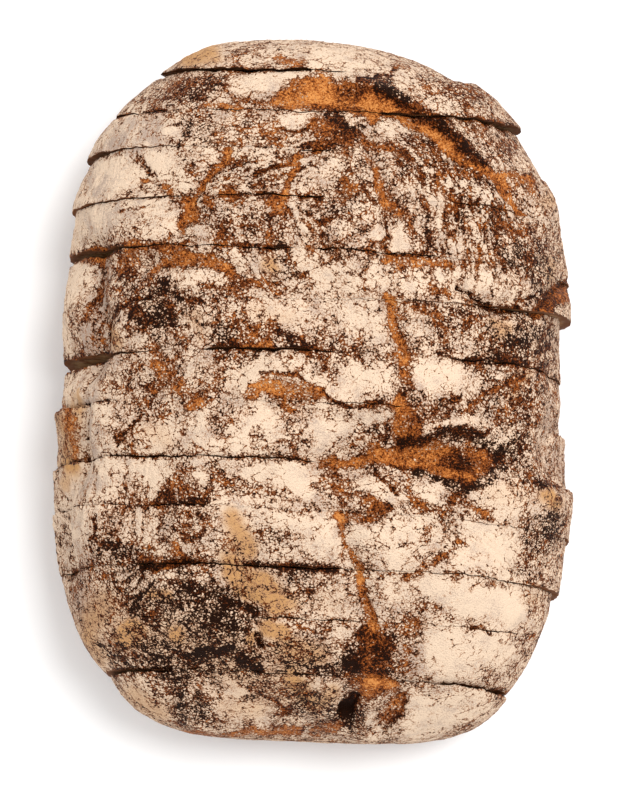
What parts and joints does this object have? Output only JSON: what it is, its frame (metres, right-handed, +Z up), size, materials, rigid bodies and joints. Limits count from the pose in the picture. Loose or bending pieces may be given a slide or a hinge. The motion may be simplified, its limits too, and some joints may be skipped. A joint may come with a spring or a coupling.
{
  "type": "sliced sourdough loaf",
  "caption": "Oval rustic sourdough loaf, cut across into slices that stand together and keep the whole loaf's shape, with a floured, torn and blistered crust.",
  "frame": {"origin": "middle of the loaf's outline, on the flat underside that it stands on", "axes": "+Y along the loaf, towards the end that its slices lean to; +Z up; +X across the loaf, to the right in the picture"},
  "size_m": [0.157, 0.2136, 0.0871],
  "materials": {
    "crust": "matte"
  },
  "bodies": {
    "root": {"slice_01": "crust", "slice_02": "crust", "slice_03": "crust", "slice_04": "crust", "slice_05": "crust", "slice_06": "crust", "slice_07": "crust", "slice_08": "crust", "slice_09": "crust", "slice_10": "crust", "slice_11": "crust", "slice_12": "crust", "slice_13": "crust", "slice_14": "crust"}
  },
  "joints": []
}
